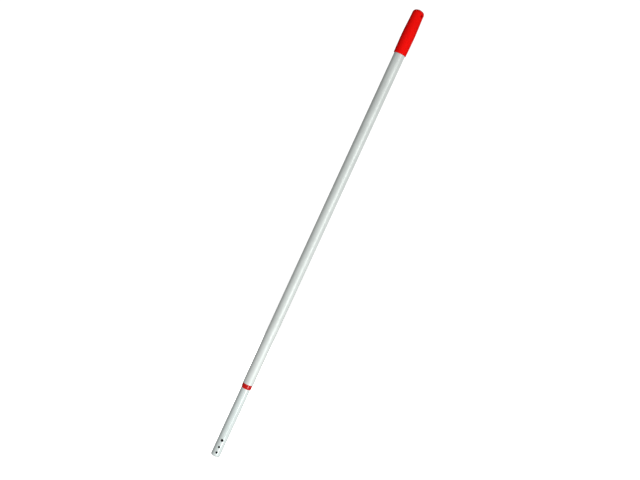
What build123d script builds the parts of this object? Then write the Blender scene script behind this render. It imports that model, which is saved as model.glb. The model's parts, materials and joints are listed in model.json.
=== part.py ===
"""Telescopic pole for a drywall sander head, with an internal twist lock.

Millimetres. The pole stands on its tool end: the origin is the middle of the tool end, +Z runs along the
pole to the grip, and the holes for the sander head face -Y. It is drawn locked, at its carrying length.
"""
import os
from math import cos, pi, radians, sin, tan

from build123d import *

# ---- driving dimensions ------------------------------------------------------------------------------------

# outer tube
OUTER_R = 12.5
OUTER_WALL = 0.8
OUTER_BORE_R = OUTER_R - OUTER_WALL
OUTER_LENGTH = 882.0

# inner tube
INNER_R = 11.0
INNER_BORE_R = 10.0
INNER_LENGTH = 862.0
SOCKET_R = 10.8  # the tool end is sized down a little to slip into a head's socket
SOCKET_LENGTH = 55.0
SOCKET_STEP = 1.0

# what shows of the inner section at the carrying length
PLUG_DOME = 2.0
PLUG_FLANGE = 3.0
COLLAR_LOW = 174.9
COLLAR_HEIGHT = 11.3

# holes for the sander head: two right through the inner tube for cross bolts, and one in the front wall
# alone for a spring button
FIXING_HOLE_R = 2.65
FIXING_HOLE_HEIGHTS = (12.2, 26.2)
BUTTON_HOLE_R = 3.3
BUTTON_HOLE_HEIGHT = 43.5

# grip
GRIP_LENGTH = 102.0
GRIP_OVER_TUBE = 79.7
GRIP_LOW_R = 14.1
GRIP_MAX_R = 14.7
GRIP_NECK_R = 13.4
GRIP_END_RADIUS = 7.6
GRIP_CROWN = 1.4
HANGING_HOLE_R = 2.5
HANGING_HOLE_BELOW_TOP = 12.6
HANGING_HOLE_TURN = 40.0  # degrees from -Y towards +X

# fits, all radial
PRESSED = 0.02
RUNNING = 0.05
LOCK_GAP = 0.08
DEBURR = 0.2

# twist lock
STUD_R = 4.0
THREAD_PITCH = 2.5
PIN_R = 1.5
CONE_TAPER = 9.0  # degrees, half angle
SLEEVE_LENGTH = 36.0
SLEEVE_SLOT = 1.6
SLEEVE_SLOTS = 4
KEY_SIDE_GAP = 0.15

# ---- heights worked out from the driving dimensions --------------------------------------------------------

outer_low = COLLAR_LOW + COLLAR_HEIGHT
outer_top = outer_low + OUTER_LENGTH
inner_low = PLUG_FLANGE
inner_top = inner_low + INNER_LENGTH
grip_low = outer_top - GRIP_OVER_TUBE
grip_top = grip_low + GRIP_LENGTH
hanging_hole_z = grip_top - HANGING_HOLE_BELOW_TOP

FLANGE_HEIGHT = 12.0
flange_top = inner_top + FLANGE_HEIGHT
WASHER_THICKNESS = 1.5
washer_top = flange_top + WASHER_THICKNESS
SLEEVE_GAP = 0.3
sleeve_low = washer_top + SLEEVE_GAP
sleeve_top = sleeve_low + SLEEVE_LENGTH
taper_low = sleeve_low + 10.0
cone_low = taper_low + 4.0
cone_top = sleeve_top + 5.0
stop_low = cone_top + THREAD_PITCH + 1.5
NUT_HEIGHT = 5.0
nut_low = stop_low + WASHER_THICKNESS
stud_top = nut_low + NUT_HEIGHT + 1.5
stud_low = inner_top - 20.0
pin_z = inner_top - 29.0


# ---- helpers -----------------------------------------------------------------------------------------------


def turn(*outline, mode=Mode.ADD):
    """Turn a closed outline of (radius, height) points about the pole's axis, in the part being built."""
    with BuildSketch(Plane.XZ) as section:
        with BuildLine():
            Polyline(*outline, close=True)
        make_face()
    revolve(section.sketch, axis=Axis.Z, mode=mode)


def tube(inside, outside, low, high, edge=DEBURR):
    """Turn a plain tube, washer or ring with all four edges broken."""
    turn(
        (inside + edge, low),
        (outside - edge, low),
        (outside, low + edge),
        (outside, high - edge),
        (outside - edge, high),
        (inside + edge, high),
        (inside, high - edge),
        (inside, low + edge),
    )


def cross_hole(radius, height, turned=0.0, mode=Mode.SUBTRACT, length=60.0, both=True):
    """Cut a round hole across the pole, along -Y turned towards +X by the given degrees.

    It goes right through, or with both=False only outwards from the pole's axis."""
    outward = Vector(sin(radians(turned)), -cos(radians(turned)), 0)
    with BuildSketch(Plane(origin=(0, 0, height), x_dir=(0, 0, 1), z_dir=outward)) as mouth:
        Circle(radius)
    extrude(mouth.sketch, amount=length / 2, both=both, mode=mode)


def hand_over(piece, name):
    """Name a finished piece and write it."""
    piece.part.label = name
    export_step(piece.part, f"parts/{name}.step")


os.makedirs("parts", exist_ok=True)


# ---- outer section -----------------------------------------------------------------------------------------

with BuildPart() as outer_tube:
    tube(OUTER_BORE_R, OUTER_R, outer_low, outer_top)

# a sleeve pressed into the outer tube, with the red collar standing out below it
BUSHING_SPIGOT = 35.0
COLLAR_R = 11.8
COLLAR_LIP = 2.6
spigot_top = outer_low + BUSHING_SPIGOT
bushing_bore_r = INNER_R + RUNNING
spigot_r = OUTER_BORE_R - PRESSED
with BuildPart() as guide_bushing:
    with BuildSketch(Plane.XZ) as bushing_section:
        with BuildLine():
            l1 = Line((bushing_bore_r, COLLAR_LOW + 0.3), (bushing_bore_r, spigot_top))
            l2 = Line(l1 @ 1, (spigot_r - 0.3, spigot_top))
            l3 = Line(l2 @ 1, (spigot_r, spigot_top - 1.0))
            l4 = Line(l3 @ 1, (spigot_r, outer_low))
            l5 = Line(l4 @ 1, (COLLAR_R, outer_low))
            l6 = Line(l5 @ 1, (COLLAR_R, COLLAR_LOW + COLLAR_LIP))
            l7 = ThreePointArc(l6 @ 1, (COLLAR_R - 0.16, COLLAR_LOW + 0.8), (COLLAR_R - 0.5, COLLAR_LOW))
            Line(l7 @ 1, l1 @ 0)
        make_face()
    revolve(bushing_section.sketch, axis=Axis.Z)

# cap-shaped plug over the tube's cut end, inside the grip
CAP_R = OUTER_R - 0.3
CAP_THICKNESS = 2.0
PLUG_DEPTH = 18.0
PLUG_WALL = 1.6
cap_top = outer_top + CAP_THICKNESS
tube_plug_r = OUTER_BORE_R - PRESSED
with BuildPart() as outer_tube_plug:
    turn(
        (0, cap_top),
        (CAP_R - 0.4, cap_top),
        (CAP_R, cap_top - 0.4),
        (CAP_R, outer_top),
        (tube_plug_r, outer_top),
        (tube_plug_r, outer_top - PLUG_DEPTH + 1.0),
        (tube_plug_r - 0.4, outer_top - PLUG_DEPTH),
        (tube_plug_r - PLUG_WALL, outer_top - PLUG_DEPTH),
        (tube_plug_r - PLUG_WALL, outer_top),
        (0, outer_top),
    )

# soft grip: a barrel swell, a slimmer neck and a domed end
GRIP_EDGE = 0.8
grip_bore_r = OUTER_R + PRESSED
swell_z = grip_low + 0.43 * GRIP_LENGTH
neck_z = grip_top - 16.5
shoulder_z = grip_top - GRIP_END_RADIUS - GRIP_CROWN
shoulder_r = GRIP_NECK_R - 0.25
end_r = shoulder_r - GRIP_END_RADIUS
with BuildPart() as handle_grip:
    with BuildSketch(Plane.XZ) as grip_section:
        with BuildLine():
            low_edge = Line((grip_bore_r, grip_low), (GRIP_LOW_R - GRIP_EDGE, grip_low))
            round_edge = TangentArc(low_edge @ 1, (GRIP_LOW_R, grip_low + GRIP_EDGE), tangent=(1, 0))
            swell = Spline(round_edge @ 1, (GRIP_MAX_R, swell_z), tangents=((0.04, 1), (0, 1)))
            neck = Spline(
                swell @ 1,
                (GRIP_NECK_R, neck_z),
                (shoulder_r, shoulder_z),
                tangents=((0, 1), (0, 1)),
            )
            end_round = TangentArc(neck @ 1, (end_r, grip_top - GRIP_CROWN), tangent=neck % 1)
            crown = TangentArc((0, grip_top), end_round @ 1, tangent=(1, 0))
            Polyline(crown @ 0, (0, cap_top), (grip_bore_r, cap_top), low_edge @ 0)
        make_face()
    revolve(grip_section.sketch, axis=Axis.Z)
    cross_hole(HANGING_HOLE_R, hanging_hole_z, HANGING_HOLE_TURN)

# ---- inner section -----------------------------------------------------------------------------------------

with BuildPart() as inner_tube:
    turn(
        (INNER_BORE_R, inner_low),
        (SOCKET_R - DEBURR, inner_low),
        (SOCKET_R, inner_low + DEBURR),
        (SOCKET_R, inner_low + SOCKET_LENGTH),
        (INNER_R, inner_low + SOCKET_LENGTH + SOCKET_STEP),
        (INNER_R, inner_top - DEBURR),
        (INNER_R - DEBURR, inner_top),
        (INNER_BORE_R, inner_top),
    )
    for hole_z in FIXING_HOLE_HEIGHTS:
        cross_hole(FIXING_HOLE_R, hole_z)
    cross_hole(BUTTON_HOLE_R, BUTTON_HOLE_HEIGHT, both=False)
    cross_hole(PIN_R, pin_z, 90.0)

# domed cup that closes the tool end
plug_r = INNER_BORE_R - PRESSED
plug_face_r = SOCKET_R - 0.2
plug_cup_r = plug_r - 1.4
plug_depth = 6.5
with BuildPart() as tool_end_plug:
    with BuildSketch(Plane.XZ) as plug_section:
        with BuildLine():
            dome = TangentArc((0, 0), (plug_face_r, PLUG_DOME), tangent=(1, 0))
            Polyline(
                dome @ 1,
                (plug_face_r, PLUG_FLANGE),
                (plug_r, PLUG_FLANGE),
                (plug_r, PLUG_FLANGE + plug_depth - 0.6),
                (plug_r - 0.3, PLUG_FLANGE + plug_depth),
                (plug_cup_r, PLUG_FLANGE + plug_depth),
                (plug_cup_r, PLUG_FLANGE),
                (0, PLUG_FLANGE),
                dome @ 0,
            )
        make_face()
    revolve(plug_section.sketch, axis=Axis.Z)

# plug in the tube's upper end, with a flange that carries the guide ring and a socket for the stud
BODY_DEPTH = 38.0
FLANGE_R = 11.2
GROOVE_R = 10.0
groove_low = inner_top + 3.0
groove_high = inner_top + 9.0
body_r = INNER_BORE_R - PRESSED
with BuildPart() as lock_body:
    turn(
        (0, inner_top - BODY_DEPTH),
        (body_r - 0.8, inner_top - BODY_DEPTH),
        (body_r, inner_top - BODY_DEPTH + 0.8),
        (body_r, inner_top),
        (FLANGE_R, inner_top),
        (FLANGE_R, groove_low),
        (GROOVE_R, groove_low),
        (GROOVE_R, groove_high),
        (FLANGE_R, groove_high),
        (FLANGE_R, flange_top - 0.4),
        (FLANGE_R - 0.4, flange_top),
        (0, flange_top),
    )
    with Locations((0, 0, stud_low)):
        Cylinder(
            STUD_R,
            flange_top - stud_low,
            align=(Align.CENTER, Align.CENTER, Align.MIN),
            mode=Mode.SUBTRACT,
        )
    cross_hole(PIN_R, pin_z, 90.0)

# rolled spring pin: a split tube that lies across the inner tube
PIN_LENGTH = 21.2
PIN_WALL = 0.45
with BuildPart() as lock_pin:
    cross_hole(PIN_R - PRESSED, pin_z, 90.0, mode=Mode.ADD, length=PIN_LENGTH)
    cross_hole(PIN_R - PRESSED - PIN_WALL, pin_z, 90.0)
    with Locations((0, 0, pin_z + PIN_R)):
        Box(PIN_LENGTH + 2, 0.5, 2 * PIN_R - 1, mode=Mode.SUBTRACT)

with BuildPart() as lock_stud:
    with Locations((0, 0, stud_low)):
        Cylinder(STUD_R, stud_top - stud_low, align=(Align.CENTER, Align.CENTER, Align.MIN))
    chamfer(lock_stud.edges().filter_by(GeomType.CIRCLE).sort_by(Axis.Z)[-1], 0.8)

GUIDE_RING_SPLIT = 2.0
with BuildPart() as guide_ring:
    tube(GROOVE_R + RUNNING, OUTER_BORE_R - LOCK_GAP, groove_low + 0.1, groove_high - 0.1)
    with Locations((0, OUTER_BORE_R, (groove_low + groove_high) / 2)):
        Box(GUIDE_RING_SPLIT, 8, 10, rotation=(0, 25, 0), mode=Mode.SUBTRACT)

with BuildPart() as thrust_washer:
    tube(STUD_R + PRESSED, 9.5, flange_top, washer_top)

with BuildPart() as stop_washer:
    tube(STUD_R + PRESSED, 8.0, stop_low, nut_low)

NUT_ACROSS_FLATS = 13.0
with BuildPart() as stop_nut:
    with BuildSketch(Plane.XY.offset(nut_low)) as hexagon:
        RegularPolygon(NUT_ACROSS_FLATS / 2, 6, major_radius=False)
        Circle(STUD_R + PRESSED, mode=Mode.SUBTRACT)
    extrude(hexagon.sketch, amount=NUT_HEIGHT)
    # corners turned off at both ends
    corner_r = NUT_ACROSS_FLATS / 2 / cos(pi / 6)
    turn(
        (corner_r - 0.6, nut_low + NUT_HEIGHT),
        (corner_r + 0.4, nut_low + NUT_HEIGHT),
        (corner_r + 0.4, nut_low + NUT_HEIGHT - 0.6),
        mode=Mode.SUBTRACT,
    )
    turn(
        (corner_r - 0.6, nut_low),
        (corner_r + 0.4, nut_low),
        (corner_r + 0.4, nut_low + 0.6),
        mode=Mode.SUBTRACT,
    )

# ---- expander ----------------------------------------------------------------------------------------------

# the sleeve's taper starts above a solid foot, and the cone follows it with a running gap
SLEEVE_BORE_R = 5.2
SLEEVE_R = OUTER_BORE_R - LOCK_GAP
FRICTION_GROOVE_R = 9.6
FRICTION_RING_R = 1.0
CLOSING_GROOVE_R = 10.3
CLOSING_RING_R = 0.6
taper = tan(radians(CONE_TAPER))
mouth_r = SLEEVE_BORE_R + 0.6 + (sleeve_top - taper_low) * taper
friction_z = sleeve_low + 4.0
closing_z = sleeve_low + 21.0
with BuildPart() as expander_sleeve:
    turn(
        (SLEEVE_BORE_R, sleeve_low),
        (SLEEVE_R - 0.5, sleeve_low),
        (SLEEVE_R, sleeve_low + 0.5),
        (SLEEVE_R, friction_z - FRICTION_RING_R),
        (FRICTION_GROOVE_R, friction_z - FRICTION_RING_R),
        (FRICTION_GROOVE_R, friction_z + FRICTION_RING_R),
        (SLEEVE_R, friction_z + FRICTION_RING_R),
        (SLEEVE_R, closing_z - CLOSING_RING_R),
        (CLOSING_GROOVE_R, closing_z - CLOSING_RING_R),
        (CLOSING_GROOVE_R, closing_z + CLOSING_RING_R),
        (SLEEVE_R, closing_z + CLOSING_RING_R),
        (SLEEVE_R, sleeve_top - 0.5),
        (SLEEVE_R - 0.5, sleeve_top),
        (mouth_r, sleeve_top),
        (SLEEVE_BORE_R + 0.6, taper_low),
        (SLEEVE_BORE_R, taper_low),
    )
    with PolarLocations(OUTER_R, SLEEVE_SLOTS):
        with Locations((0, 0, taper_low)):
            Box(
                2 * OUTER_R - 6,
                SLEEVE_SLOT,
                SLEEVE_LENGTH,
                align=(Align.CENTER, Align.CENTER, Align.MIN),
                mode=Mode.SUBTRACT,
            )

with BuildPart() as friction_ring:
    with BuildSketch(Plane.XZ) as rubber_section:
        with Locations((FRICTION_GROOVE_R + FRICTION_RING_R + PRESSED, friction_z)):
            Circle(FRICTION_RING_R - PRESSED)
    revolve(rubber_section.sketch, axis=Axis.Z)

# wire ring with a gap between its ends
CLOSING_RING_GAP = 3.0
with BuildPart() as closing_ring:
    with BuildSketch(Plane.XZ) as wire_section:
        with Locations((CLOSING_GROOVE_R + CLOSING_RING_R + PRESSED, closing_z)):
            Circle(CLOSING_RING_R - PRESSED)
    revolve(wire_section.sketch, axis=Axis.Z)
    turned_to_finger = Rot(0, 0, 45) * Pos(CLOSING_GROOVE_R, 0, closing_z)
    with Locations(turned_to_finger):
        Box(6, CLOSING_RING_GAP, 4, mode=Mode.SUBTRACT)

# cone with two keys that ride in the sleeve's slots
CONE_GAP = 0.06
KEY_R = CLOSING_GROOVE_R - 0.2
cone_gap_r = CONE_GAP / cos(radians(CONE_TAPER))
cone_low_r = SLEEVE_BORE_R + 0.6 + (cone_low - taper_low) * taper - cone_gap_r
cone_rim_r = SLEEVE_BORE_R + 0.6 + (sleeve_top - taper_low) * taper - cone_gap_r
with BuildPart() as expander_cone:
    turn(
        (STUD_R + RUNNING, cone_low),
        (cone_low_r, cone_low),
        (cone_rim_r, sleeve_top),
        (cone_rim_r, cone_top - 0.5),
        (cone_rim_r - 0.5, cone_top),
        (STUD_R + RUNNING, cone_top),
    )
    with Locations((0, 0, cone_low + 4.0)):
        Box(
            2 * KEY_R,
            SLEEVE_SLOT - 2 * KEY_SIDE_GAP,
            cone_top - cone_low - 5.0,
            align=(Align.CENTER, Align.CENTER, Align.MIN),
        )
    with Locations((0, 0, cone_low - 1.0)):
        Cylinder(
            STUD_R + RUNNING,
            cone_top - cone_low + 2.0,
            align=(Align.CENTER, Align.CENTER, Align.MIN),
            mode=Mode.SUBTRACT,
        )


# ---- write every piece -------------------------------------------------------------------------------------

hand_over(outer_tube, "outer_tube")
hand_over(handle_grip, "handle_grip")
hand_over(outer_tube_plug, "outer_tube_plug")
hand_over(guide_bushing, "guide_bushing")
hand_over(inner_tube, "inner_tube")
hand_over(tool_end_plug, "tool_end_plug")
hand_over(lock_body, "lock_body")
hand_over(lock_pin, "lock_pin")
hand_over(lock_stud, "lock_stud")
hand_over(guide_ring, "guide_ring")
hand_over(thrust_washer, "thrust_washer")
hand_over(stop_washer, "stop_washer")
hand_over(stop_nut, "stop_nut")
hand_over(expander_sleeve, "expander_sleeve")
hand_over(friction_ring, "friction_ring")
hand_over(closing_ring, "closing_ring")
hand_over(expander_cone, "expander_cone")
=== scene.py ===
"""Looks of the telescopic sander pole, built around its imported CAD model. Metres, in the CAD frame."""
import json
from math import atan2, cos, pi, radians, sin, sqrt, tan

import bmesh
import bpy
from mathutils import Matrix, Vector


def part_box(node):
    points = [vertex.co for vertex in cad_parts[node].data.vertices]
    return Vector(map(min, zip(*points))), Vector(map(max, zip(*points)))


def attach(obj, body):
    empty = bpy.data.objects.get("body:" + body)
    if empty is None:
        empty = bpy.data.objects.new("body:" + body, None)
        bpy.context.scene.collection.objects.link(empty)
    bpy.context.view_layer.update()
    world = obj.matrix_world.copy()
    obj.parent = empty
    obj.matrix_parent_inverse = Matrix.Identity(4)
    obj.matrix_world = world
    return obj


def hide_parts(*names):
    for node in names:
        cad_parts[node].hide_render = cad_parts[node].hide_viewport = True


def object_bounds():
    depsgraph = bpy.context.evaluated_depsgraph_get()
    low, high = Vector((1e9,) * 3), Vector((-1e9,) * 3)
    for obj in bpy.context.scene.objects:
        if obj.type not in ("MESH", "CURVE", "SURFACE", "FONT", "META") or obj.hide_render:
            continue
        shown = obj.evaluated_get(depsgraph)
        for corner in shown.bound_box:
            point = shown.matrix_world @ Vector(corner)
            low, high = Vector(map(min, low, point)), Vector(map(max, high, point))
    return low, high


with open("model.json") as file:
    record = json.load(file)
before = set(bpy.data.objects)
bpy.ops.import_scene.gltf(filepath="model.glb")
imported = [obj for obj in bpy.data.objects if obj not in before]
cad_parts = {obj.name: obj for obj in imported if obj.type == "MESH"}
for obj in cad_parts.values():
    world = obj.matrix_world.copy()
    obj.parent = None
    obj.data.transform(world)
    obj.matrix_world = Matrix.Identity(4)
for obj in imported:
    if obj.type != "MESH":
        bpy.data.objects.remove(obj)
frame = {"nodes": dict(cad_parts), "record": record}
cad_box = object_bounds()
nodes = frame["nodes"]
mounts = {m["name"]: m for m in frame["record"]["mounts"]}
MM = 0.001
SOCKET_CHAMFER = 0.2 * MM  # at the tube's end, below the spigot's round wall

# ---- sizes read from the frame -----------------------------------------------------------------------------


def reach(node):
    """A round node's outer radius, lowest and highest height."""
    low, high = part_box(node)
    return (high[0] - low[0]) / 2, low[2], high[2]


outer_r, outer_low, outer_top = reach("outer_tube")
inner_r, inner_low, inner_top = reach("inner_tube")
grip_max_r, grip_low, grip_top = reach("handle_grip")
collar_r, collar_low, bushing_top = reach("guide_bushing")
plug_r, plug_low, plug_top = reach("tool_end_plug")
stud_r, stud_low, stud_top = reach("lock_stud")
tube_plug_top = reach("outer_tube_plug")[2]
flange_top = reach("lock_body")[2]
pin_low, pin_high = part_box("lock_pin")
sized_end = mounts["tool_spigot"]["dims"]
socket_r = sized_end["r_mm"] * MM
socket_top = inner_low + sized_end["length_mm"] * MM + SOCKET_CHAMFER

# ---- turned meshes -----------------------------------------------------------------------------------------

SEGMENTS = 96
WINDOW = 12  # cells along each side of the square that a round hole is set in
HOLE_RINGS = 4  # rows of faces between a window's edge and its hole
CORNER_STEPS = 5
ROUND_STEPS = 14


def rounded(outline):
    """Replace each (radius, height, fillet) corner of a closed outline by an arc of that fillet."""
    points = []
    count = len(outline)
    for i, (r, z, fillet) in enumerate(outline):
        here = Vector((r, z))
        if fillet == 0:
            points.append((r, z))
            continue
        before = (Vector(outline[i - 1][:2]) - here).normalized()
        after = (Vector(outline[(i + 1) % count][:2]) - here).normalized()
        half = before.angle(after) / 2
        start = here + before * fillet / tan(half)
        centre = here + (before + after).normalized() * fillet / sin(half)
        spoke = start - centre
        sweep = pi - 2 * half
        if before.x * after.y - before.y * after.x > 0:
            sweep = -sweep
        for k in range(CORNER_STEPS + 1):
            turned = Matrix.Rotation(sweep * k / CORNER_STEPS, 2) @ spoke
            points.append(tuple(centre + turned))
    return points


def lathe(outline, open_cells=(), segments=SEGMENTS):
    """Turn a closed (radius, height) outline. Returns the bmesh and its grid of vertices, [row][column].

    Cells named in open_cells, as (row, column), are left open for a window with a round hole."""
    bm = bmesh.new()
    grid = []
    for r, z in outline:
        if r < 1e-7:
            grid.append([bm.verts.new((0, 0, z))] * segments)
            continue
        turns = [2 * pi * j / segments for j in range(segments)]
        grid.append([bm.verts.new((r * sin(t), -r * cos(t), z)) for t in turns])
    for i, row in enumerate(grid):
        above = grid[(i + 1) % len(grid)]
        for j in range(segments):
            k = (j + 1) % segments
            if (i, j) in open_cells:
                continue
            corners = list(dict.fromkeys((row[j], row[k], above[k], above[j])))
            if len(corners) > 2:
                bm.faces.new(corners)
    return bm, grid


def finished(bm, name, sharp=40.0, inside=0.0):
    """Close a bmesh into an object with smooth shading, broken at corners over the given degrees.

    Faces that lie wholly within the inside radius take the second material."""
    bmesh.ops.recalc_face_normals(bm, faces=bm.faces)
    for face in bm.faces:
        if all(v.co.xy.length < inside for v in face.verts):
            face.material_index = 1
    mesh = bpy.data.meshes.new(name)
    bm.to_mesh(mesh)
    bm.free()
    mesh.shade_smooth()
    mesh.set_sharp_from_angle(angle=radians(sharp))
    piece = bpy.data.objects.new(name, mesh)
    bpy.context.scene.collection.objects.link(piece)
    return piece


def window_rows(centre, half):
    """Heights of a window's rows, from its low edge to its high edge."""
    return [centre + half * (2 * k / WINDOW - 1) for k in range(WINDOW + 1)]


def window_cells(first_row, azimuth):
    """The cells of a window about an azimuth in radians, and its first column."""
    first_column = round(azimuth / (2 * pi) * SEGMENTS) - WINDOW // 2
    cells = {
        (first_row + i, (first_column + j) % SEGMENTS)
        for i in range(WINDOW)
        for j in range(WINDOW)
    }
    return cells, first_column


def window_edge(grid, first_row, first_column, rising=1):
    """A window's edge vertices, in order about the hole, from the middle of its right side upwards."""
    mid = WINDOW // 2
    path = []
    path += [(k, WINDOW) for k in range(mid, WINDOW)]
    path += [(WINDOW, k) for k in range(WINDOW, 0, -1)]
    path += [(k, 0) for k in range(WINDOW, 0, -1)]
    path += [(0, k) for k in range(0, WINDOW)]
    path += [(k, WINDOW) for k in range(0, mid)]
    if rising < 0:
        path = [(WINDOW - i, j) for i, j in path]
    return [grid[first_row + i][(first_column + j) % SEGMENTS] for i, j in path]


def join_loops(bm, one, other, material=0):
    """Faces between two loops of as many vertices."""
    for k in range(len(one)):
        after = (k + 1) % len(one)
        face = bm.faces.new((one[k], one[after], other[after], other[k]))
        face.material_index = material


def set_hole(bm, edge, on_surface, azimuth, centre_z, mouth_r):
    """Fill a window from its edge to a round mouth that lies on the surface. Returns the mouth's loop.

    on_surface(across, up) gives a point of the surface beside the hole's centre."""
    sideways = Vector((cos(azimuth), sin(azimuth), 0))
    loop = edge
    count = len(edge)
    for ring in range(1, HOLE_RINGS + 1):
        share = ring / HOLE_RINGS
        inner = []
        for k, v in enumerate(edge):
            angle = 2 * pi * k / count
            across = (1 - share) * v.co.dot(sideways) + share * mouth_r * cos(angle)
            up = (1 - share) * (v.co.z - centre_z) + share * mouth_r * sin(angle)
            inner.append(bm.verts.new(on_surface(across, up)))
        join_loops(bm, loop, inner)
        loop = inner
    return loop


def on_tube(radius, azimuth, centre_z):
    """The points of a turned surface beside a hole. The radius is a number, or a function of the height."""
    sideways = Vector((cos(azimuth), sin(azimuth), 0))
    outward = Vector((sin(azimuth), -cos(azimuth), 0))

    def point(across, up):
        here = radius(centre_z + up) if callable(radius) else radius
        return sideways * across + outward * sqrt(here**2 - across**2) + Vector((0, 0, centre_z + up))

    return point


def round_loop(bm, azimuth, centre_z, radius, distance):
    """A circle of vertices about a cross hole.

    distance(across, up) is how far out from the pole's axis each lies."""
    sideways = Vector((cos(azimuth), sin(azimuth), 0))
    outward = Vector((sin(azimuth), -cos(azimuth), 0))
    count = 4 * WINDOW
    loop = []
    for k in range(count):
        angle = 2 * pi * k / count
        across, up = radius * cos(angle), radius * sin(angle)
        where = sideways * across + outward * distance(across, up) + Vector((0, 0, centre_z + up))
        loop.append(bm.verts.new(where))
    return loop


# ---- materials ---------------------------------------------------------------------------------------------


def add_node(tree, kind, **settings):
    made = tree.nodes.new(kind)
    for key, value in settings.items():
        setattr(made, key, value)
    return made


class Shader:
    """A Principled material and short ways to add its nodes."""

    def __init__(self, name, **sockets):
        self.material = bpy.data.materials.new(name)
        self.material.use_nodes = True
        self.tree = self.material.node_tree
        self.principled = self.tree.nodes["Principled BSDF"]
        for socket, value in sockets.items():
            self.principled.inputs[socket.replace("_", " ")].default_value = value
        self.place = self.node("ShaderNodeTexCoord").outputs["Object"]

    def node(self, kind, **settings):
        return add_node(self.tree, kind, **settings)

    def link(self, source, target):
        self.tree.links.new(source, target)

    def scaled(self, scale, place=None):
        mapping = self.node("ShaderNodeMapping")
        mapping.inputs["Scale"].default_value = scale
        self.link(place or self.place, mapping.inputs["Vector"])
        return mapping.outputs["Vector"]

    def noise(self, scale, detail=3.0, roughness=0.5, distortion=0.0):
        """Noise over object space in metres, with one scale or one for each axis."""
        made = self.node("ShaderNodeTexNoise")
        made.inputs["Scale"].default_value = 1.0
        made.inputs["Detail"].default_value = detail
        made.inputs["Roughness"].default_value = roughness
        made.inputs["Distortion"].default_value = distortion
        size = scale if isinstance(scale, tuple) else (scale, scale, scale)
        self.link(self.scaled(size), made.inputs["Vector"])
        return made.outputs["Fac"]

    def spread(self, value, from_low, from_high, low, high):
        made = self.node("ShaderNodeMapRange")
        made.inputs["From Min"].default_value = from_low
        made.inputs["From Max"].default_value = from_high
        made.inputs["To Min"].default_value = low
        made.inputs["To Max"].default_value = high
        self.link(value, made.inputs["Value"])
        return made.outputs["Result"]

    def maths(self, operation, one, other):
        made = self.node("ShaderNodeMath", operation=operation)
        for socket, value in zip(made.inputs, (one, other)):
            if isinstance(value, (int, float)):
                socket.default_value = value
            else:
                self.link(value, socket)
        return made.outputs["Value"]

    def mix(self, factor, one, other):
        made = self.node("ShaderNodeMix", data_type="RGBA")
        self.link(factor, made.inputs["Factor"])
        for key, value in (("A", one), ("B", other)):
            socket = next(s for s in made.inputs if s.name == key and s.type == "RGBA")
            if isinstance(value, tuple):
                socket.default_value = (*value, 1)
            else:
                self.link(value, socket)
        return next(s for s in made.outputs if s.type == "RGBA")

    def bump(self, height, distance, strength=1.0, under=None):
        made = self.node("ShaderNodeBump")
        made.inputs["Distance"].default_value = distance
        made.inputs["Strength"].default_value = strength
        self.link(height, made.inputs["Height"])
        if under:
            self.link(under, made.inputs["Normal"])
        return made.outputs["Normal"]

    def set(self, socket, value):
        self.link(value, self.principled.inputs[socket])


def drawn_metal(name, color, dark, roughness, line_depth, haze):
    """Drawn aluminium: die lines along the tube, faint cloudy oxide, and short rubbed scratches."""
    s = Shader(name, Metallic=1.0)
    lines = s.noise((2600, 2600, 7), detail=4.0, roughness=0.6)
    broad = s.noise((480, 480, 2.5), detail=2.0)
    cloud = s.noise(38, detail=4.0, roughness=0.6)
    scratch = s.noise((1500, 1500, 45), detail=5.0, roughness=0.7, distortion=0.6)
    rubbed = s.spread(scratch, 0.63, 0.70, 0.0, 1.0)
    streaks = s.maths("ADD", s.spread(lines, 0.3, 0.7, 0.0, 0.45), s.spread(broad, 0.3, 0.7, 0.0, 0.25))
    tone = s.maths("ADD", streaks, s.spread(cloud, 0.35, 0.65, 0.0, 0.3))
    s.set("Base Color", s.mix(s.maths("SUBTRACT", tone, s.maths("MULTIPLY", rubbed, 0.35)), dark, color))
    level = s.spread(broad, 0.3, 0.7, roughness - haze, roughness + haze)
    s.set("Roughness", s.maths("ADD", level, s.maths("MULTIPLY", rubbed, 0.1)))
    s.set("Normal", s.bump(lines, line_depth, under=s.bump(broad, line_depth * 3)))
    return s.material


def soft_vinyl(name, color, dark):
    """Soft dipped vinyl: fine orange peel, a satin skin and slight uneven depth of colour."""
    s = Shader(name, IOR=1.45)
    s.principled.inputs["Specular IOR Level"].default_value = 0.05
    peel = s.noise(900, detail=2.0)
    cloud = s.noise((60, 60, 25), detail=3.0)
    s.set("Base Color", s.mix(s.spread(cloud, 0.3, 0.7, 0, 1), dark, color))
    s.set("Roughness", s.spread(cloud, 0.3, 0.7, 0.46, 0.58))
    s.set("Normal", s.bump(peel, 0.00006, under=s.bump(cloud, 0.0002)))
    return s.material


GRAIN = 1400  # bumps to the metre
GRAIN_DEPTH = 0.00002


def moulded_plastic(name, color, dark, roughness, specular=0.5):
    """Moulded plastic with a fine spark-eroded grain."""
    s = Shader(name, IOR=1.5)
    s.principled.inputs["Specular IOR Level"].default_value = specular
    fine = s.noise(GRAIN, detail=2.0)
    cloud = s.noise(90, detail=3.0)
    s.set("Base Color", s.mix(s.spread(cloud, 0.3, 0.7, 0, 1), dark, color))
    s.set("Roughness", s.spread(cloud, 0.3, 0.7, roughness - 0.05, roughness + 0.05))
    s.set("Normal", s.bump(fine, GRAIN_DEPTH))
    return s.material


def plated_steel(name, color, dark, roughness):
    """Zinc-plated or plain steel with crystalline mottling."""
    s = Shader(name, Metallic=1.0)
    flecks = s.noise(700, detail=3.0, roughness=0.7)
    s.set("Base Color", s.mix(s.spread(flecks, 0.35, 0.65, 0, 1), dark, color))
    s.set("Roughness", s.spread(flecks, 0.3, 0.7, roughness - 0.08, roughness + 0.08))
    s.set("Normal", s.bump(flecks, 0.00001))
    return s.material


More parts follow.
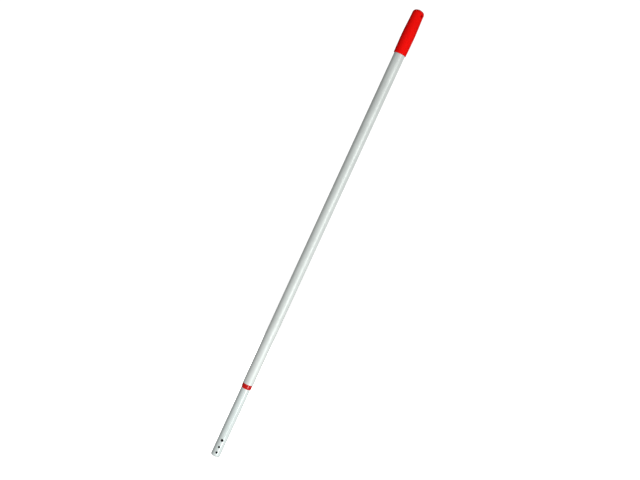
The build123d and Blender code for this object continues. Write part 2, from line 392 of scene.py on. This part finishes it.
outer_metal = drawn_metal(
    "outer_aluminium_drawn",
    (0.65, 0.69, 0.668),
    (0.52, 0.555, 0.535),
    roughness=0.36,
    line_depth=0.000006,
    haze=0.04,
)
inner_metal = drawn_metal(
    "inner_aluminium_drawn",
    (0.60, 0.66, 0.646),
    (0.505, 0.556, 0.543),
    roughness=0.20,
    line_depth=0.000004,
    haze=0.04,
)
# painted shade: the tubes' bores are near-black metal, standing in for the shade inside the tubes and their
# holes
bore_painted_shade_metal = drawn_metal(
    "tube_bore_painted_shade",
    (0.10, 0.10, 0.10),
    (0.06, 0.06, 0.06),
    roughness=0.6,
    line_depth=0.00001,
    haze=0.08,
)
grip_vinyl = soft_vinyl("grip_red_vinyl", (0.86, 0.006, 0.004), (0.80, 0.005, 0.0035))
# painted shade: the hanging hole's wall is a darker red, standing in for the shade inside the hole
hole_painted_shade_vinyl = soft_vinyl("grip_hole_painted_shade_vinyl", (0.58, 0.006, 0.0045), (0.52, 0.005, 0.004))
collar_plastic = moulded_plastic(
    "collar_red_plastic", (0.56, 0.008, 0.006), (0.50, 0.007, 0.005), 0.2, specular=0.1
)
plug_plastic = moulded_plastic("end_plug_grey_plastic", (0.36, 0.36, 0.37), (0.31, 0.31, 0.32), 0.5)
lock_plastic = moulded_plastic("lock_black_plastic", (0.035, 0.035, 0.038), (0.025, 0.025, 0.027), 0.45)
nylon = moulded_plastic("natural_nylon", (0.78, 0.76, 0.69), (0.72, 0.70, 0.63), 0.42)
zinc = plated_steel("zinc_plate", (0.66, 0.66, 0.63), (0.52, 0.52, 0.50), 0.34)
spring = plated_steel("spring_steel_bare", (0.38, 0.38, 0.39), (0.28, 0.28, 0.29), 0.3)
rubber = moulded_plastic("ring_rubber", (0.022, 0.022, 0.022), (0.016, 0.016, 0.016), 0.7, specular=0.3)


def dress(piece, *materials):
    """Give a piece its materials. Its faces' choice of them is kept if it had none before."""
    if piece.data.materials:
        piece.data.materials.clear()
    for material in materials:
        piece.data.materials.append(material)


# ---- tubes -------------------------------------------------------------------------------------------------

EDGE = 0.25 * MM
INNER_EDGE = 0.1 * MM
WALL = 0.8 * MM
SKIN = 0.01 * MM  # added to a bore's radius, to tell its faces by


def make_outer_tube():
    bore = outer_r - WALL
    outline = rounded(
        [
            (outer_r, outer_low, EDGE),
            (outer_r, outer_top, EDGE),
            (bore, outer_top, EDGE),
            (bore, outer_low, EDGE),
        ]
    )
    bm, _ = lathe(outline)
    # faces inside the bore take the near-black painted shade
    tube = finished(bm, "outer_tube_drawn", inside=bore + SKIN)
    dress(tube, outer_metal, bore_painted_shade_metal)
    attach(tube, "outer_section")
    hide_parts("outer_tube")


# the holes near the tool end, and the sides of the tube that each goes through, as azimuths
HEAD_HOLES = (
    ("fixing_hole_1", (0.0, pi)),
    ("fixing_hole_2", (0.0, pi)),
    ("button_hole", (0.0,)),
)
BORE_R = 10.0 * MM
PIN_GAP = 0.02 * MM
HOLE_BREAK = 0.18 * MM
HOLE_WINDOW = 4.6 * MM
PIN_WINDOW = 3.2 * MM
STEP = 1.0 * MM  # height of the cone between the sized end and the tube


def make_inner_tube():
    """The inner tube, with its sized tool end, its head's deburred holes and the lock pin's hole."""
    holes = []
    for name, azimuths in HEAD_HOLES:
        hole = mounts[name]
        holes.append((hole["pos_m"][2], hole["dims"]["r_mm"] * MM, socket_r, HOLE_WINDOW, azimuths))
    pin_z = (pin_low[2] + pin_high[2]) / 2
    pin_hole_r = (pin_high[1] - pin_low[1]) / 2 + PIN_GAP
    holes.append((pin_z, pin_hole_r, inner_r, PIN_WINDOW, (pi / 2, 3 * pi / 2)))
    corners = [(BORE_R, inner_low, INNER_EDGE), (socket_r, inner_low, EDGE)]
    for centre_z, _, surface_r, half, _ in holes:
        if surface_r == inner_r:
            corners += [(socket_r, socket_top, 0), (inner_r, socket_top + STEP, 0)]
        corners += [(surface_r, z, 0) for z in window_rows(centre_z, half)]
    corners += [(inner_r, inner_top, EDGE), (BORE_R, inner_top, INNER_EDGE)]
    for centre_z, _, _, half, _ in reversed(holes):
        corners += [(BORE_R, z, 0) for z in reversed(window_rows(centre_z, half))]
    outline = rounded(corners)
    cells = set()
    windows = []
    for hole in holes:
        rows = window_rows(hole[0], hole[3])
        outer_row = outline.index((hole[2], rows[0]))
        bore_row = outline.index((BORE_R, rows[-1]))
        for azimuth in hole[4]:
            for row in (outer_row, bore_row):
                taken, first_column = window_cells(row, azimuth)
                cells |= taken
            windows.append((hole, azimuth, first_column, outer_row, bore_row))
    bm, grid = lathe(outline, cells)
    for (centre_z, hole_r, surface_r, _, _), azimuth, first_column, outer_row, bore_row in windows:
        outer_edge = window_edge(grid, outer_row, first_column)
        bore_edge = window_edge(grid, bore_row, first_column, rising=-1)
        outside = on_tube(surface_r, azimuth, centre_z)
        inside = on_tube(BORE_R, azimuth, centre_z)
        mouth = set_hole(bm, outer_edge, outside, azimuth, centre_z, hole_r + HOLE_BREAK)
        foot = set_hole(bm, bore_edge, inside, azimuth, centre_z, hole_r)
        neck = round_loop(
            bm, azimuth, centre_z, hole_r, lambda a, u: sqrt(surface_r**2 - a**2) - HOLE_BREAK
        )
        join_loops(bm, mouth, neck)
        join_loops(bm, neck, foot)
    # faces inside the bore take the near-black painted shade
    tube = finished(bm, "inner_tube_drawn", inside=BORE_R + SKIN)
    dress(tube, inner_metal, bore_painted_shade_metal)
    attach(tube, "inner_section")
    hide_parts("inner_tube")


# ---- grip --------------------------------------------------------------------------------------------------

GRIP_LOW_R = 14.1 * MM
GRIP_SHOULDER_R = 13.15 * MM
GRIP_END_RADIUS = 7.6 * MM
GRIP_CROWN = 1.4 * MM
GRIP_EDGE = 0.9 * MM
GRIP_BORE_EDGE = 0.3 * MM
GRIP_BORE_GAP = 0.02 * MM
GRIP_SWELL = 0.43  # where the grip is widest, as a share of its length
GRIP_ROWS = 28
GRIP_END_TURN = radians(64.0)
HANGING_EDGE = 0.7 * MM
HANGING_WINDOW = 3.5 * MM
swell_z = grip_low + GRIP_SWELL * (grip_top - grip_low)
shoulder_z = grip_top - GRIP_END_RADIUS - GRIP_CROWN


def grip_radius(z):
    """The grip's barrel: it swells from its mouth to under its middle, then slims to the shoulder."""
    if z < swell_z:
        share = max(0.0, (swell_z - z) / (swell_z - grip_low))
        return grip_max_r - (grip_max_r - GRIP_LOW_R) * share**2
    share = min(1.0, (z - swell_z) / (shoulder_z - swell_z))
    return grip_max_r - (grip_max_r - GRIP_SHOULDER_R) * (1 - cos(pi * share)) / 2


def make_grip():
    """The soft grip: a barrel with a domed end and a rounded hanging hole right across it."""
    hole = mounts["hanging_hole"]
    centre_z = hole["pos_m"][2]
    hole_r = hole["dims"]["r_mm"] * MM
    turned = atan2(hole["axis"][0], -hole["axis"][1])
    bore_r = outer_r + GRIP_BORE_GAP
    mouth_r = grip_radius(grip_low)
    barrel = [(bore_r, grip_low, GRIP_BORE_EDGE), (mouth_r, grip_low, GRIP_EDGE)]
    rows = window_rows(centre_z, HANGING_WINDOW)
    first, last = grip_low + GRIP_EDGE, rows[0]
    for k in range(1, GRIP_ROWS):
        z = first + (last - first) * k / GRIP_ROWS
        barrel.append((grip_radius(z), z, 0))
    barrel += [(grip_radius(z), z, 0) for z in rows]
    end_r = GRIP_SHOULDER_R - GRIP_END_RADIUS
    for k in range(ROUND_STEPS + 1):
        angle = GRIP_END_TURN * k / ROUND_STEPS
        barrel.append((end_r + GRIP_END_RADIUS * cos(angle), shoulder_z + GRIP_END_RADIUS * sin(angle), 0))
    edge_r, edge_z, _ = barrel[-1]
    for k in range(1, ROUND_STEPS):
        share = 1 - k / ROUND_STEPS
        barrel.append((edge_r * share, grip_top - (grip_top - edge_z) * share**2, 0))
    barrel += [(0, grip_top, 0), (0, tube_plug_top, 0), (bore_r, tube_plug_top, 0)]
    outline = rounded(barrel)
    first_row = outline.index((grip_radius(rows[0]), rows[0]))
    cells = set()
    windows = []
    for azimuth in (turned, turned + pi):
        taken, first_column = window_cells(first_row, azimuth)
        cells |= taken
        windows.append((azimuth, first_column))
    bm, grid = lathe(outline, cells)
    necks = []
    for azimuth, first_column in windows:
        edge = window_edge(grid, first_row, first_column)
        surface = on_tube(grip_radius, azimuth, centre_z)
        loop = set_hole(bm, edge, surface, azimuth, centre_z, hole_r + HANGING_EDGE)
        for step in range(1, CORNER_STEPS + 1):
            angle = pi / 2 * step / CORNER_STEPS
            spread = hole_r + HANGING_EDGE * (1 - sin(angle))
            sink = HANGING_EDGE * (1 - cos(angle))
            under = round_loop(
                bm,
                azimuth,
                centre_z,
                spread,
                lambda a, u: sqrt(grip_radius(centre_z + u) ** 2 - a**2) - sink,
            )
            # the rounded rim's inner steps take the darker red of painted shade
            join_loops(bm, loop, under, material=int(step > 1))
            loop = under
        necks.append(loop)
    near, far = necks
    half = len(near) // 2
    # the wall right through the hole takes the darker red of painted shade
    join_loops(bm, near, [far[(half - k) % len(far)] for k in range(len(far))], material=1)
    grip = finished(bm, "handle_grip_moulded", sharp=50)
    dress(grip, grip_vinyl, hole_painted_shade_vinyl)
    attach(grip, "outer_section")
    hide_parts("handle_grip")


# ---- red collar and end plug -------------------------------------------------------------------------------

COLLAR_LIP = 2.6 * MM


def make_bushing():
    """The guide sleeve with its collar's soft lower lip."""
    bore = inner_r + 0.05 * MM
    spigot = outer_r - WALL - 0.02 * MM
    outline = rounded(
        [
            (bore, collar_low, 0.15 * MM),
            (collar_r - 0.35 * MM, collar_low, 0.35 * MM),
            (collar_r, collar_low + COLLAR_LIP, 0.8 * MM),
            (collar_r, outer_low, 0.02 * MM),
            (spigot, outer_low, 0),
            (spigot, bushing_top, 0.2 * MM),
            (bore, bushing_top, 0.1 * MM),
        ]
    )
    bm, _ = lathe(outline)
    bushing = finished(bm, "guide_bushing_moulded")
    dress(bushing, collar_plastic)
    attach(bushing, "outer_section")
    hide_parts("guide_bushing")
    return bushing


DOME_RISE = 2.0 * MM
CUP_WALL = 1.4 * MM
GATE_R = 1.1 * MM
GATE_DEPTH = 0.25 * MM


def make_end_plug():
    """The domed cup in the tool end, with the dimple of its mould gate."""
    stem_r = BORE_R - 0.02 * MM
    face = [(0, plug_low + GATE_DEPTH, 0), (GATE_R * 0.8, plug_low + GATE_DEPTH, 0)]
    for k in range(ROUND_STEPS + 1):
        r = GATE_R + (plug_r - 0.3 * MM - GATE_R) * k / ROUND_STEPS
        face.append((r, plug_low + DOME_RISE * (r / plug_r) ** 2, 0))
    face += [
        (plug_r, plug_low + DOME_RISE, 0.12 * MM),
        (plug_r, inner_low, 0.1 * MM),
        (stem_r, inner_low, 0),
        (stem_r, plug_top, 0.3 * MM),
        (stem_r - CUP_WALL, plug_top, 0.1 * MM),
        (stem_r - CUP_WALL, inner_low, 0.2 * MM),
        (0, inner_low, 0),
    ]
    outline = rounded(face)
    bm, _ = lathe(outline)
    plug = finished(bm, "tool_end_plug_moulded")
    dress(plug, plug_plastic)
    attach(plug, "inner_section")
    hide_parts("tool_end_plug")


# ---- threaded stud -----------------------------------------------------------------------------------------

THREAD_PITCH = 2.5 * MM
THREAD_DEPTH = 0.95 * MM
THREAD_SEGMENTS = 40
ROWS_PER_PITCH = 10
STUD_CHAMFER = 0.8 * MM


def thread_radius(z, angle):
    """A coarse thread with flat crests, that runs out into the stud's plain foot and chamfered top."""
    phase = ((z - flange_top) / THREAD_PITCH - angle / (2 * pi)) % 1.0
    flank = min(1.0, max(0.0, (abs(phase - 0.5) - 0.08) / 0.3))
    cut = THREAD_DEPTH * (1 - flank)
    start = min(1.0, max(0.0, (z - flange_top) / THREAD_PITCH + 0.5))
    chamfer = max(0.0, STUD_CHAMFER - (stud_top - z))
    return min(stud_r - cut * start, stud_r - chamfer)


def make_stud():
    """The lock's stud, with a real helical thread where the cone runs on it."""
    thread_low = flange_top - THREAD_PITCH
    count = round((stud_top - thread_low) / THREAD_PITCH * ROWS_PER_PITCH)
    heights = [stud_low] + [thread_low + (stud_top - thread_low) * k / count for k in range(count + 1)]
    outline = [(0, stud_low)] + [(stud_r, z) for z in heights] + [(0, stud_top)]
    bm, grid = lathe(outline, segments=THREAD_SEGMENTS)
    for row, z in zip(grid[2:-1], heights[1:]):
        for j, v in enumerate(row):
            v.co.xy = v.co.xy.normalized() * thread_radius(z, 2 * pi * j / THREAD_SEGMENTS)
    stud = finished(bm, "lock_stud_threaded", sharp=30)
    dress(stud, zinc)
    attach(stud, "inner_section")
    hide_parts("lock_stud")


make_outer_tube()
make_inner_tube()
make_grip()
bushing = make_bushing()
make_end_plug()
make_stud()

for node, material in {
    "outer_tube_plug": lock_plastic,
    "lock_body": lock_plastic,
    "lock_pin": spring,
    "guide_ring": nylon,
    "thrust_washer": zinc,
    "stop_washer": zinc,
    "stop_nut": zinc,
    "expander_sleeve": nylon,
    "friction_ring": rubber,
    "closing_ring": spring,
    "expander_cone": lock_plastic,
}.items():
    dress(nodes[node], material)

# ---- studio ------------------------------------------------------------------------------------------------

AIM_HEIGHT = 0.5502
FLOOR_DROP = 0.45
FLOOR_SIZE = 14.0
FLOOR_GLOW = 0.95


def make_floor():
    """A plain white floor well below the pole, which hangs in its tool's place."""
    bm = bmesh.new()
    bmesh.ops.create_grid(bm, x_segments=24, y_segments=24, size=FLOOR_SIZE / 2)
    bmesh.ops.translate(bm, vec=(0, 0, cad_box[0][2] - FLOOR_DROP), verts=bm.verts)
    floor = finished(bm, "floor")
    s = Shader("floor_white", Roughness=0.9)
    s.principled.inputs["Base Color"].default_value = (0.9, 0.9, 0.9, 1)
    s.principled.inputs["Emission Color"].default_value = (1, 1, 1, 1)
    s.principled.inputs["Emission Strength"].default_value = FLOOR_GLOW
    s.set("Roughness", s.spread(s.noise(6), 0.3, 0.7, 0.85, 0.95))
    dress(floor, s.material)
    floor.visible_glossy = False
    floor.visible_diffuse = False
    floor.visible_shadow = False


# brightness of the studio about the pole: (degrees to the right of the fixing holes' side, grey)
STUDIO = (
    (-180, 0.42),
    (-140, 0.38),
    (-94, 0.47),
    (-66, 0.74),
    (-42, 0.89),
    (-20, 0.94),
    (0, 1.12),
    (20, 1.24),
    (42, 1.24),
    (66, 1.14),
    (94, 1.08),
    (135, 1.05),
    (180, 0.60),
)
STUDIO_PEAK = 1.3
AMBIENT = 0.05  # the share of the studio's light that matt surfaces get, besides their own key light
LOW_LIGHT = 0.35  # how much brighter the studio is below than level
WHITE_LEVEL = 1.1


def make_world():
    """Soft light from all round, darker on the left, and plain white where the camera looks past the pole."""
    world = bpy.data.worlds.new("studio")
    world.use_nodes = True
    tree = world.node_tree
    background = tree.nodes["Background"]
    output = tree.nodes["World Output"]
    place = add_node(tree, "ShaderNodeTexCoord")
    split = add_node(tree, "ShaderNodeSeparateXYZ")
    tree.links.new(place.outputs["Generated"], split.inputs["Vector"])
    towards = add_node(tree, "ShaderNodeMath", operation="MULTIPLY")
    tree.links.new(split.outputs["Y"], towards.inputs[0])
    towards.inputs[1].default_value = -1.0
    turn = add_node(tree, "ShaderNodeMath", operation="ARCTAN2")
    tree.links.new(split.outputs["X"], turn.inputs[0])
    tree.links.new(towards.outputs["Value"], turn.inputs[1])
    share = add_node(tree, "ShaderNodeMapRange")
    share.inputs["From Min"].default_value = -pi
    share.inputs["From Max"].default_value = pi
    tree.links.new(turn.outputs["Value"], share.inputs["Value"])
    ramp = add_node(tree, "ShaderNodeValToRGB")
    ramp.color_ramp.interpolation = "B_SPLINE"
    stops = ramp.color_ramp.elements
    while len(stops) < len(STUDIO):
        stops.new(0.5)
    for stop, (degrees, grey) in zip(stops, STUDIO):
        stop.position = (degrees + 180) / 360
        stop.color = (grey / STUDIO_PEAK, grey / STUDIO_PEAK, grey / STUDIO_PEAK, 1)
    tree.links.new(share.outputs["Result"], ramp.inputs["Fac"])
    tree.links.new(ramp.outputs["Color"], background.inputs["Color"])
    height = add_node(tree, "ShaderNodeMapRange")
    height.inputs["From Min"].default_value = -1.0
    height.inputs["To Min"].default_value = STUDIO_PEAK * (1 + LOW_LIGHT)
    height.inputs["To Max"].default_value = STUDIO_PEAK * (1 - LOW_LIGHT)
    tree.links.new(split.outputs["Z"], height.inputs["Value"])
    seen = add_node(tree, "ShaderNodeLightPath")
    share_lit = add_node(tree, "ShaderNodeMapRange")
    share_lit.inputs["To Min"].default_value = 1.0
    share_lit.inputs["To Max"].default_value = AMBIENT
    tree.links.new(seen.outputs["Is Diffuse Ray"], share_lit.inputs["Value"])
    strength = add_node(tree, "ShaderNodeMath", operation="MULTIPLY")
    tree.links.new(height.outputs["Result"], strength.inputs[0])
    tree.links.new(share_lit.outputs["Result"], strength.inputs[1])
    tree.links.new(strength.outputs["Value"], background.inputs["Strength"])
    white = add_node(tree, "ShaderNodeBackground")
    white.inputs["Color"].default_value = (1, 1, 1, 1)
    white.inputs["Strength"].default_value = WHITE_LEVEL
    mixed = add_node(tree, "ShaderNodeMixShader")
    tree.links.new(seen.outputs["Is Camera Ray"], mixed.inputs["Fac"])
    tree.links.new(background.outputs["Background"], mixed.inputs[1])
    tree.links.new(white.outputs["Background"], mixed.inputs[2])
    tree.links.new(mixed.outputs["Shader"], output.inputs["Surface"])
    bpy.context.scene.world = world


# soft lights that only matt surfaces see: (name, degrees to the right of the fixing holes' side, watts)
KEYS = (
    ("key_soft_light", 11.5, 83),
    ("back_right_soft_light", 163.0, 36),
    ("back_left_soft_light", -163.0, 36),
)
# lights that the tubes mirror, the two lower ones on the inner tube: (name, place, width, length, watts)
TUBE_LIGHTS = (
    ("upper_strip_light", (1.22, -1.58, 0.65), 0.35, 2.0, 2.8),
    ("lower_strip_light", (1.22, -1.58, -0.65), 0.35, 0.6, 1.6),
    ("lower_side_light", (1.99, -0.17, -0.75), 1.2, 0.8, 0.5),
)
# a light for the collar alone, which mirrors less than the tubes do
GLINT_PLACE = (1.09, -1.68, -0.47)
GLINT_WIDTH = 0.6
GLINT_LENGTH = 0.8
GLINT_WATTS = 44
KEY_SIZE = 1.0
KEY_DISTANCE = 3.0
KEY_HEIGHT = 0.3


def make_light(name, place, aim, width, height, watts):
    data = bpy.data.lights.new(name, "AREA")
    data.shape = "RECTANGLE"
    data.size = width
    data.size_y = height
    data.energy = watts
    light = bpy.data.objects.new(name, data)
    away = (Vector(place) - Vector(aim)).normalized()
    light.matrix_world = Matrix.Translation(place) @ away.to_track_quat("Z", "Y").to_matrix().to_4x4()
    bpy.context.scene.collection.objects.link(light)
    return light


make_floor()
make_world()
for name, place, width, length, watts in TUBE_LIGHTS:
    make_light(name, place, (0, 0, place[2]), width, length, watts)
glint = make_light(
    "collar_glint_light", GLINT_PLACE, (0, 0, collar_low), GLINT_WIDTH, GLINT_LENGTH, GLINT_WATTS
)
glint.visible_diffuse = False
glint.light_linking.receiver_collection = bpy.data.collections.new("collar_only")
glint.light_linking.receiver_collection.objects.link(bushing)
for name, degrees, watts in KEYS:
    place = (KEY_DISTANCE * sin(radians(degrees)), -KEY_DISTANCE * cos(radians(degrees)), KEY_HEIGHT)
    key = make_light(name, place, (0, 0, AIM_HEIGHT), KEY_SIZE, KEY_SIZE, watts)
    key.visible_glossy = False

# ---- camera ------------------------------------------------------------------------------------------------

CAMERA_DISTANCE = 1.596
CAMERA_AZIMUTH = radians(2.5)  # to the left of the side that the fixing holes face
CAMERA_ELEVATION = radians(5.5)
CAMERA_ROLL = radians(24.72)
CAMERA_LENS = 40.5
CAMERA_SENSOR = 36.0
CLIP_START = 0.01
AIM_LEFT_OF_CENTRE = 0.01098
AIM_ABOVE_CENTRE = 0.00434


def make_camera():
    """A camera before the pole's middle, rolled so that the pole leans to the right."""
    aim = Vector((0, 0, AIM_HEIGHT))
    level = cos(CAMERA_ELEVATION)
    away = Vector((-sin(CAMERA_AZIMUTH) * level, -cos(CAMERA_AZIMUTH) * level, sin(CAMERA_ELEVATION)))
    place = aim + away * CAMERA_DISTANCE
    right = Vector((0, 0, 1)).cross(away).normalized()
    up = away.cross(right)
    rolled_up = up * cos(CAMERA_ROLL) - right * sin(CAMERA_ROLL)
    rolled_right = right * cos(CAMERA_ROLL) + up * sin(CAMERA_ROLL)
    target = aim + rolled_right * AIM_LEFT_OF_CENTRE - rolled_up * AIM_ABOVE_CENTRE
    back = (place - target).normalized()
    side = rolled_up.cross(back).normalized()
    turn = Matrix((side, back.cross(side), back)).transposed()
    data = bpy.data.cameras.new("camera")
    data.lens = CAMERA_LENS
    data.sensor_width = CAMERA_SENSOR
    data.clip_start = CLIP_START
    camera = bpy.data.objects.new("camera", data)
    camera.matrix_world = Matrix.Translation(place) @ turn.to_4x4()
    bpy.context.scene.collection.objects.link(camera)
    bpy.context.scene.camera = camera


make_camera()
bpy.context.scene.view_settings.view_transform = "Standard"
